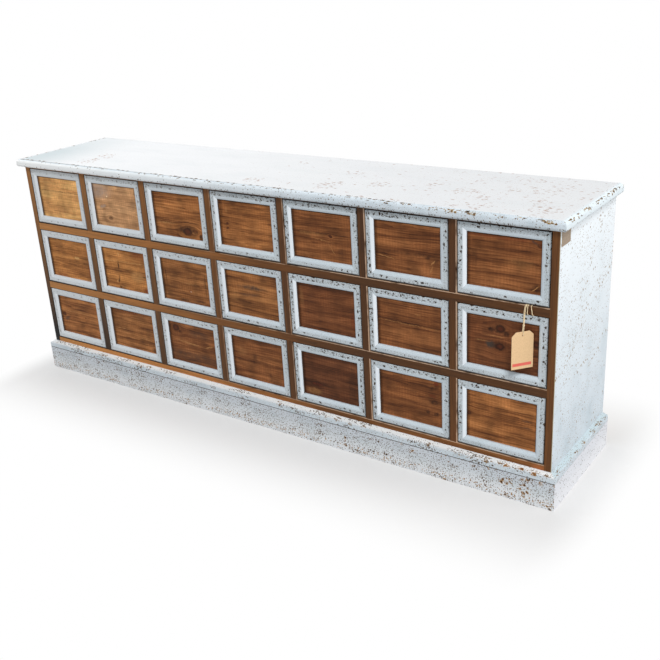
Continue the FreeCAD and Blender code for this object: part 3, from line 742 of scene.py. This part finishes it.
def top_material():
    """Painted top board: near white, with lengthwise scrapes that gather at the right, greyer at the left."""
    material, mm = start("painted_top")
    x, y, _ = add("SeparateXYZ", mm).outputs
    flat = flattened(x, y, (0.3, 1))
    more = add("MapRange", x, From=(-200, 1050), To_Min=0.1)
    end = add("MapRange.SMOOTHSTEP", x, From=(-1090, -780), To=(0.8, 0))
    forward = add("MapRange", y, From=(-60, 180), To=(1, 0.3))
    layer = milk_paint(flat, settings("paint").top, brush=0.02, mottle=0.1, grey="#9b9490", cloud=0.3)
    layer = tinted(layer, "#b3c1c5", end, forward)
    layer = tinted(layer, "#cfd1d3", more, 0.35)
    layer = flakes(layer, flattened(x, y), 7, 1.3, (more, 0.4), "#d6ccc7", "#b3a199")
    layer = flakes(layer, flat, 9, 2.2, (more, more, 0.2), "#d2c0b8", "#9c7b6e")
    groups = gathered(flattened(x, y, (0.8, 1)), 105, 40, (more,))
    layer = flakes(layer, flat, 7.5, 2.6, (groups, 0.75), "#cdb9b0", "#94705f")
    return finish(material, layer, specular=0.3)


def edging_material():
    """Painted nosing: a row of knocks along its back arris, ochre-rimmed at the right, and pepper below."""
    material, mm = start("painted_nosing")
    along, up, end, x, _ = skin(mm)
    flat = flattened(along, up, (0.85, 1))
    rightward = add("MapRange", x, From=(-900, 500), To_Min=0.15)
    leftward = add("MapRange", x, From=(-1050, 350), To=(1, 0))
    far_right = add("MapRange", x, From=(500, 700))
    arris = add("Mix", far_right, TOP - 11, TOP - 24)
    from_arris = add("Math.SUBTRACT", up, arris)
    low = within(up, TOP - 54, TOP - 42, 4)
    zone = within(from_arris, -9, 9, 2)
    level = add("MapRange", up, From=(TOP - 10, TOP - 5))
    layer = milk_paint(flat, settings("paint").case, brush=0.03, mottle=0.35)
    # Painted highlight: a near white band along the round of the nosing, towards the left end.
    layer = tinted(layer, "#fafcfc", leftward, within(up, TOP - 48, TOP - 18, 6), 0.95)
    layer = tinted(layer, "#6d767a", leftward, within(up, TOP - 13, TOP - 6, 1.5), 0.9)
    # Painted shade: the lower part of the nosing is turned grey, more so towards the right end.
    layer = tinted(layer, "#7b8183", rightward, low, 0.4)
    layer = tinted(layer, "#dfe1e3", level, 0.9)
    # Painted light: the rounded ends of the nosing are turned paler.
    layer = tinted(layer, "#e6f0f4", end, rest(level), 0.7)
    sharp = add("Mix", end, 0.75, 0.25)
    layer = flakes(layer, flat, 5.5, 1.8, (rightward, low, sharp), "#6d6255", "#2b211a")
    layer = flakes(layer, flat, 8, 1.8, (rightward, sharp, 0.5), "#a2927d", "#4b3a2a")
    fewer = add("Math.MULTIPLY_ADD", far_right, -0.65, 1)
    small_row = flattened(along, from_arris, (0.6, 0.8))
    layer = flakes(layer, small_row, 14, 5.6, (zone, fewer, add("Mix", leftward, 0.95, 0.55)), "#9a8467",
                   "#35281d", order=0.45, edge_wide=0.2)
    large_row = flattened(along, from_arris, (0.7, 1))
    groups = gathered(large_row, 48, 21, (far_right, zone), 0.3)
    layer = flakes(layer, flat, 10, 6.2, (groups, 0.95), "#b8954f", "#4a3120", edge_wide=0.26)
    return finish(material, layer, specular=0.3)


def seamed(layer, z, end):
    """A layer with the dark joint under the plinth's cap, fainter on the ends."""
    joint = within(z, PLINTH_TOP - 1.2, PLINTH_TOP + 1.2, 0.4)
    return tinted(layer, "#3f3a36", joint, add("Mix", end, 0.95, 0.2))


def plinth_material():
    """Painted plinth: fine flecks all over, and groups of pale-rimmed knocks, most at the right corner."""
    material, mm = start("painted_plinth")
    along, up, end, x, z = skin(mm)
    front = rest(end)
    flat = flattened(along, up, (0.85, 0.85))
    patches = add("TexNoise", Vector=mm, Scale=0.013)
    corner = add("MapRange", x, From=(1060, 1075))
    foot = product(within(x, 930, 1200, 20), within(up, -10, 28, 3))
    most = add("Math.MAXIMUM", corner, foot)
    often = add("Mix", end, add("MapRange", most, To_Min=0.6), 0)
    sharp = add("Mix", end, 1, 0.35)
    small = add("MapRange", patches, From=(0.35, 0.6), To_Min=0.5)
    layer = milk_paint(flat, settings("paint").plinth, brush=0.03, mottle=0.4, grey="#8b8580")
    # Painted light and shade: the plinth is paler towards its foot, darker and bluer towards its head under
    # the cap's overhang, and paler on its ends.
    near_foot = add("MapRange", up, From=(42, 6), To_Max=0.55)
    near_head = add("MapRange", up, From=(30, 75), To_Max=0.45)
    for tint, masks in (("#f4f5f7", (near_foot,)), ("#c4cad6", (near_head,)), ("#ecebf0", (end, 0.55))):
        layer = tinted(layer, tint, *masks)
    layer = flakes(layer, flat, 5.2, 1.7, (small, sharp), "#8d8376", "#3d3128")
    trails = gathered(flattened(along, up, (0.45, 1)), 34, 14, (front, 0.8))
    layer = flakes(layer, flat, 6.5, 3.1, (trails, 0.7), "#a4907a", "#49382a", edge_wide=0.2)
    chafed = within(up, -10, 9, 4)
    layer = flakes(layer, flat, 7, 2.8, (chafed, small, front, 0.7), "#cfb08a", "#8a663f")
    right = add("MapRange", x, From=(350, 800))
    groups = gathered(flat, 44, 21, (often, right))
    layer = flakes(layer, flat, 10, 5.8, (groups, 0.8), "#bb966a", "#4f3826", edge_wide=0.3)
    return finish(material, seamed(layer, z, end), specular=0.3)


def cap_material():
    """Painted plinth cap: whiter on its slope, with groups of orange-brown knocks along its edge at right."""
    material, mm = start("painted_cap")
    along, up, end, x, z = skin(mm)
    front = rest(end)
    flat = flattened(along, up, (0.8, 1))
    over_joint = add("Math.SUBTRACT", up, PLINTH_TOP)
    row = flattened(along, over_joint, (0.7, 1))
    zone = within(up, 84, 108, 2)
    rightward = add("MapRange", x, From=(-200, 1050), To_Min=0.15)
    far_right = add("MapRange", x, From=(850, 1050), To_Max=0.9)
    slope = add("MapRange", up, From=(86, 99), To_Max=0.7)
    layer = milk_paint(flat, settings("paint").case, brush=0.03, mottle=0.4, grey="#8f877d")
    # Painted light: the slope of the cap is turned near white in front; on the ends it is turned blue-grey,
    # as painted shade.
    layer = tinted(layer, "#f1f2f2", slope, front, 1.1)
    layer = tinted(layer, "#bfd0d5", slope, end)
    layer = flakes(layer, flat, 5.5, 1.6, (rightward, 0.5), "#a99a88", "#4e3d2e")
    patches = gathered(flattened(along, over_joint, (0.25, 1)), 30, 15, (front, 0.75))
    layer = flakes(layer, flat, 5.8, 2.9, (patches, 0.7), "#948472", "#3d3026", edge_wide=0.2)
    groups = gathered(row, 34, 15, (rightward, zone, 0.95), 0.3)
    layer = flakes(layer, flat, 7.5, 4, (groups, 0.9), "#b9976a", "#4a3524", edge_wide=0.26)
    layer = flakes(layer, row, 30, 9.5, (far_right, zone, front), "#b58a54", "#7c5230", order=0.35)
    return finish(material, seamed(layer, z, end), specular=0.3)


def dress(material, *names):
    """Gives CAD nodes a material in their own slots."""
    for name in names:
        data = NODES[name].data
        if not data.materials:
            data.materials.append(material)
        for index in range(len(data.materials)):
            data.materials[index] = material


class SIDEBOARD_OT_drawers(bpy.types.Operator):
    """Paint the drawer mouldings, and stain each drawer's panel in its own tone"""
    bl_idname = "sideboard.drawers"
    bl_label = "Drawers"

    def execute(self, context):
        moulding = frame_material()
        for row in range(1, ROWS + 1):
            for column in range(1, COLUMNS + 1):
                dress(moulding, f"drawer_r{row}c{column}_frame")
                dress(panel_material(row, column), f"drawer_r{row}c{column}_box")
        return {"FINISHED"}


class SIDEBOARD_OT_face_frame(bpy.types.Operator):
    """Stain the rails, muntins and end stiles"""
    bl_idname = "sideboard.face_frame"
    bl_label = "Face frame"

    def execute(self, context):
        dress(rail_material(), "face_frame_rails")
        dress(muntin_material(), "muntins")
        dress(stile_material(), "end_stiles")
        return {"FINISHED"}


class SIDEBOARD_OT_case(bpy.types.Operator):
    """Paint the top, its nosing, the sides and the plinth, and leave the rest of the case bare pine"""
    bl_idname = "sideboard.case"
    bl_label = "Case"

    def execute(self, context):
        dress(top_material(), "top_board")
        dress(edging_material(), "top_edging")
        dress(side_material(), "side_panel_left", "side_panel_right")
        dress(plinth_material(), "plinth_boards")
        dress(cap_material(), "plinth_cap")
        dress(bare_material(), "partitions", "back_panel", "bottom_board", "base_bearers", "top_bearers",
              "drawer_runners", "drawer_stops")
        return {"FINISHED"}


# Tag and twine. Points are across, back and up from one on the rail's lower edge, in millimetres.
RAIL_POINT = (0.915, -0.2045, 0.5945)
TWINE_ROUTE = (
    (93.7, 6, -1.5), (93.7, -6.5, -1.5), (91.6, -5.6, 13), (88.6, -6, 27.5), (88.6, 10, 27.5),
    (72.2, 10, 27.5), (72.2, -6, 27.5), (69.2, -5.4, 11), (68.9, -6.2, -1), (70.4, -10.4, -14),
    (71.7, -15.2, -29.2), (70.9, -17.6, -42), (70.1, -18.1, -55.5), (76.1, -22.9, -55.5),
    (76.3, -22.6, -43), (74.3, -16.8, -29.2), (73.2, -11.2, -14), (71.7, -6.4, -1), (72.2, -5.6, 11),
    (74.8, -6, 27.5), (74.8, 5, 27.5), (79.4, 5, 27.5), (79.4, -6, 27.5), (78.5, -5.6, 13),
    (78, -6.5, -1.5), (78, 6, -1.5),
)
TAG_HOLE = (73.1, -20.5, -56.1)
TAG_TURN = math.radians(50)
KNOT_MIDDLE = (73, -16, -29.2)
KNOT_POINTS = 24
KNOT_SIZE = 0.0011


def from_rail(point):
    """A point of the tag or twine in the row frame, in metres."""
    return Vector(RAIL_POINT) + Vector(point) / 1000


def curve_mesh(name, lines, thickness, kind="POLY", cyclic=False, resolution=8):
    """The mesh of one curve with a spline for each line of points, as thick as asked, or bare if 0."""
    curve = bpy.data.curves.new(name, "CURVE")
    curve.dimensions = "3D"
    curve.bevel_depth = thickness / 2
    curve.bevel_resolution = 2
    curve.resolution_u = resolution
    curve.use_fill_caps = thickness > 0 and not cyclic
    for line in lines:
        spline = curve.splines.new(kind)
        spline.points.add(len(line) - 1)
        for point, place in zip(spline.points, line):
            point.co = (*place, 1)
        spline.use_cyclic_u = cyclic
        if kind == "NURBS":
            spline.order_u = 3 if not cyclic else 4
            spline.use_endpoint_u = not cyclic
    holder = bpy.data.objects.new(name, curve)
    bpy.context.scene.collection.objects.link(holder)
    bpy.context.view_layer.update()
    evaluated = holder.evaluated_get(bpy.context.evaluated_depsgraph_get())
    mesh = bpy.data.meshes.new_from_object(evaluated)
    bpy.data.objects.remove(holder)
    bpy.data.curves.remove(curve)
    mesh.name = name
    return mesh


def piece(name, mesh, body, material, smooth=True):
    """A finished piece at the origin, riding on a body."""
    obj = bpy.data.objects.new(name, mesh)
    bpy.context.scene.collection.objects.link(obj)
    mesh.materials.clear()
    mesh.materials.append(material)
    for face in mesh.polygons:
        face.use_smooth = smooth
    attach(obj, body)
    return obj


def plies(path, thick, lay):
    """Two strands that wind round a path, as lines of points."""
    lines = ([], [])
    side = Vector((0, 0, 1))
    turn = 0
    for index, point in enumerate(path):
        before = path[max(index - 1, 0)]
        after = path[min(index + 1, len(path) - 1)]
        way = (after - before).normalized()
        side = (side - way * side.dot(way)).normalized()
        turn += 2 * math.pi * (point - before).length / lay
        for share, line in enumerate(lines):
            outward = Matrix.Rotation(turn + share * math.pi, 3, way) @ side
            line.append(point + outward * thick * 0.26)
    return lines


def twine_material():
    """Two-ply jute: straw-coloured, matt, with fibres along the strands."""
    material, mm = start("jute_twine")
    fuzz = add("TexNoise", Vector=mm, Scale=1.4, Detail=4, Roughness=0.7)
    tint = settings("tag").twine
    stops = ((0.3, scaled(tint, 0.55, 0.48, 0.4)), (0.52, tint), (0.72, scaled(tint, 1.25)))
    rough = add("MapRange", fuzz, To=(0.8, 0.95))
    return finish(material, (add("ValToRGB", fuzz, stops=stops), rough, fuzz), sheen=0.3)


def tag_material():
    """Kraft card: short dark and pale fibres, and one plain red printed band near the foot."""
    material, mm = start("kraft_card")
    centred = turned(mm, shift=tuple(from_rail(TAG_HOLE) * -1000))
    own = turned(centred, (0, 0, -TAG_TURN))
    fibre = add("VectorMath.MULTIPLY", own, (0.5, 1, 0.9))
    specks = add("TexNoise", Vector=fibre, Scale=0.9, Detail=5, Roughness=0.75)
    tint = settings("tag").card
    stops = ((0.28, scaled(tint, 0.72, 0.68, 0.6)), (0.5, tint), (0.75, scaled(tint, 1.12)))
    x, _, z = add("SeparateXYZ", own).outputs
    worn = add("MapRange", specks, From=(0.25, 0.55), To_Min=0.6)
    ink = product(within(x, -30, 27.5), within(z, -92, -83), worn)
    rough = add("MapRange", ink, To=(0.95, 0.75))
    layer = (add("ValToRGB", specks, stops=stops), rough, specks)
    return finish(material, tinted(layer, settings("tag").band, ink), specular=0.3)


class SIDEBOARD_OT_twine(bpy.types.Operator):
    """Lay the two-ply twine along its route, with its knot, and dress the card that it holds"""
    bl_idname = "sideboard.twine"
    bl_label = "Tag and twine"

    def execute(self, context):
        tag = settings("tag")
        route = [from_rail(point) for point in TWINE_ROUTE]
        line = curve_mesh("route", [route], 0, "NURBS", resolution=24)
        path = [vertex.co.copy() for vertex in line.vertices]
        bpy.data.meshes.remove(line)
        jute = twine_material()
        strands = curve_mesh("twine", plies(path, tag.twine_thick, tag.twine_lay), tag.twine_thick * 0.62)
        twine = piece("twine", strands, "drawer_r2c7", jute)
        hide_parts("tag_twine")
        loop = []
        for step in range(KNOT_POINTS):
            t = 2 * math.pi * step / KNOT_POINTS
            trefoil = (math.sin(t) + 2 * math.sin(2 * t), -math.sin(3 * t) * 1.1,
                       math.cos(t) - 2 * math.cos(2 * t))
            loop.append(from_rail(KNOT_MIDDLE) + KNOT_SIZE * Vector(trefoil))
        tied = curve_mesh("twine_knot", [loop], tag.twine_thick * 0.9, "NURBS", cyclic=True)
        knot = piece("twine_knot", tied, "drawer_r2c7", jute)
        dress(tag_material(), "swing_tag")
        return {"FINISHED"}


# Blank plate, in metres
PLATE_THICK = 0.0008
PLATE_FROM_FACE = 0.005
PLATE_TOP = 0.844


def plate_material():
    """Bare wood-brown plate, matt, with a faint upright texture."""
    material, mm = start("side_plate")
    laid = add("VectorMath.MULTIPLY", mm, (1, 1, 0.3))
    noise = add("TexNoise", Vector=laid, Scale=0.5, Detail=4)
    shade = add("ValToRGB", noise, stops=((0.3, linear("#857462")), (0.7, linear("#aa9884"))))
    return finish(material, (shade, add("MapRange", noise, To=(0.6, 0.8)), noise))


class SIDEBOARD_OT_plate(bpy.types.Operator):
    """Fix the small blank plate under the top on the right side"""
    bl_idname = "sideboard.plate"
    bl_label = "Blank plate"

    def execute(self, context):
        tag = settings("tag")
        form = bmesh.new()
        bmesh.ops.create_cube(form, size=1)
        bmesh.ops.scale(form, vec=(PLATE_THICK, tag.plate_wide, tag.plate_high), verts=form.verts)
        middle = Vector((SIDE / 1000 + PLATE_THICK / 2, FACE / 1000 + PLATE_FROM_FACE + tag.plate_wide / 2,
                         PLATE_TOP - tag.plate_high / 2))
        bmesh.ops.translate(form, vec=middle, verts=form.verts)
        rim = [edge for edge in form.edges if all(vertex.co.x > middle.x for vertex in edge.verts)]
        bmesh.ops.bevel(form, geom=rim, offset=0.0003, segments=2, affect="EDGES", profile=0.5, material=-1)
        plate = piece("side_plate", finished(form, "side_plate"), "carcass", plate_material(), smooth=False)
        return {"FINISHED"}


def finished(form, name):
    """The mesh of a bmesh, which is then freed."""
    mesh = bpy.data.meshes.new(name)
    form.to_mesh(mesh)
    form.free()
    return mesh


# Stage, in metres
CAMERA_PLACE = (1.92797, -2.43497, 1.55033)
CAMERA_RIGHT = (0.82313, 0.56517, -0.055134)
CAMERA_UP = (-0.173324, 0.342513, 0.923387)
LENS = 50.504
AMBIENT = 0.32


def seen_plainly(tree, first, second, third):
    """1 for rays that the background is seen by, of three kinds, and 0 for light on the object."""
    path = add("LightPath", tree=tree).outputs
    either = add("Math.MAXIMUM", path[first], path[second])
    return add("Math.MAXIMUM", either, path[third])


def floor_material():
    """Pale floor: seen plainly it is white away from the object, and it keeps the shadow round the plinth."""
    material, mm = start("studio_floor")
    tree = mm.id_data
    diffuse = add("BsdfDiffuse", tree=tree, Color=settings("studio").floor)
    glow = add("Emission", tree=tree, Color=WHITE, Strength=1)
    size = add("VectorMath.ABSOLUTE", mm)
    past = add("VectorMath.SUBTRACT", size, (1100, 225, 0))
    beyond = add("VectorMath.MAXIMUM", past, (0, 0, 0))
    sideways = add("VectorMath.MULTIPLY", beyond, (2.6, 1, 1))
    away = add("VectorMath.LENGTH", sideways)
    fade = add("MapRange.SMOOTHSTEP", away, From_Max=420, To_Min=0.25)
    share = product(fade, seen_plainly(tree, "Is Camera Ray", "Is Glossy Ray", "Is Transmission Ray"))
    add("OutputMaterial", add("MixShader", share, diffuse, glow))
    return material


def lamp(name, place, aim, size, energy):
    """A soft square lamp that faces a point."""
    light = bpy.data.lights.new(name, "AREA")
    light.shape = "RECTANGLE"
    light.size, light.size_y = size
    light.energy = energy
    holder = bpy.data.objects.new(name, light)
    bpy.context.scene.collection.objects.link(holder)
    holder.location = place
    holder.rotation_mode = "QUATERNION"
    holder.rotation_quaternion = (Vector(aim) - Vector(place)).to_track_quat("-Z", "Y")


class SIDEBOARD_OT_stage(bpy.types.Operator):
    """Set the camera, the floor, the background and the studio lamps"""
    bl_idname = "sideboard.stage"
    bl_label = "Stage"

    def execute(self, context):
        scene = context.scene
        studio = settings("studio")
        camera = bpy.data.objects.new("camera", bpy.data.cameras.new("camera"))
        scene.collection.objects.link(camera)
        right = Vector(CAMERA_RIGHT).normalized()
        back = right.cross(Vector(CAMERA_UP)).normalized()
        turn = Matrix((right, back.cross(right), back)).transposed()
        camera.rotation_mode = "QUATERNION"
        camera.rotation_quaternion = turn.to_quaternion()
        camera.location = CAMERA_PLACE
        camera.data.sensor_width = 36
        camera.data.lens = LENS
        camera.data.clip_end = 200
        scene.camera = camera
        form = bmesh.new()
        bmesh.ops.create_grid(form, x_segments=8, y_segments=8, size=40)
        floor = bpy.data.objects.new("floor", finished(form, "floor"))
        scene.collection.objects.link(floor)
        floor.data.materials.append(floor_material())
        lamp("key", (4.6, -5.2, 6.6), (0, 0, 0.5), (1.8, 1.8), studio.key)
        lamp("fill", (3.7, 0.2, 2.5), (1, 0, 0.6), (2, 2), studio.fill)
        lamp("overhead", (-1.4, 0.2, 3.2), (-0.6, 0, 0.9), (2.4, 1.2), studio.overhead)
        world = bpy.data.worlds.new("studio")
        world.use_nodes = True
        tree = world.node_tree
        tree.nodes.clear()
        ambient = add("Background", tree=tree, Color=WHITE, Strength=AMBIENT)
        white = add("Background", tree=tree, Color=WHITE, Strength=1)
        seen = seen_plainly(tree, "Is Camera Ray", "Is Transmission Ray", "Is Glossy Ray")
        add("OutputWorld", add("MixShader", seen, ambient, white))
        scene.world = world
        scene.view_settings.view_transform = "Standard"
        return {"FINISHED"}


class SIDEBOARD_PT_panel(bpy.types.Panel):
    """Sizes, colours and steps of the sideboard"""
    bl_idname = "SIDEBOARD_PT_panel"
    bl_label = "Sideboard"
    bl_space_type = "VIEW_3D"
    bl_region_type = "UI"
    bl_category = "Sideboard"

    def draw(self, context):
        for title, group in GROUPS.items():
            box = self.layout.box()
            box.label(text=title)
            for name in group.__annotations__:
                box.prop(settings(title.lower()), name)
        for operator in OPERATORS:
            self.layout.operator(operator.bl_idname)


GROUPS = {
    "Paint": SideboardPaint,
    "Wood": SideboardWood,
    "Tag": SideboardTag,
    "Studio": SideboardStudio,
}
OPERATORS = (
    SIDEBOARD_OT_stage,
    SIDEBOARD_OT_twine,
    SIDEBOARD_OT_drawers,
    SIDEBOARD_OT_face_frame,
    SIDEBOARD_OT_case,
    SIDEBOARD_OT_plate,
)
CLASSES = (*GROUPS.values(), *OPERATORS, SIDEBOARD_PT_panel)


def register():
    for cls in CLASSES:
        bpy.utils.register_class(cls)
    for title, group in GROUPS.items():
        setattr(bpy.types.Scene, f"sideboard_{title.lower()}", bpy.props.PointerProperty(type=group))


def unregister():
    for title in GROUPS:
        delattr(bpy.types.Scene, f"sideboard_{title.lower()}")
    for cls in reversed(CLASSES):
        bpy.utils.unregister_class(cls)


def main():
    register()
    for operator in OPERATORS:
        getattr(bpy.ops.sideboard, operator.bl_idname.split(".")[1])()


if __name__ == "__main__":
    main()
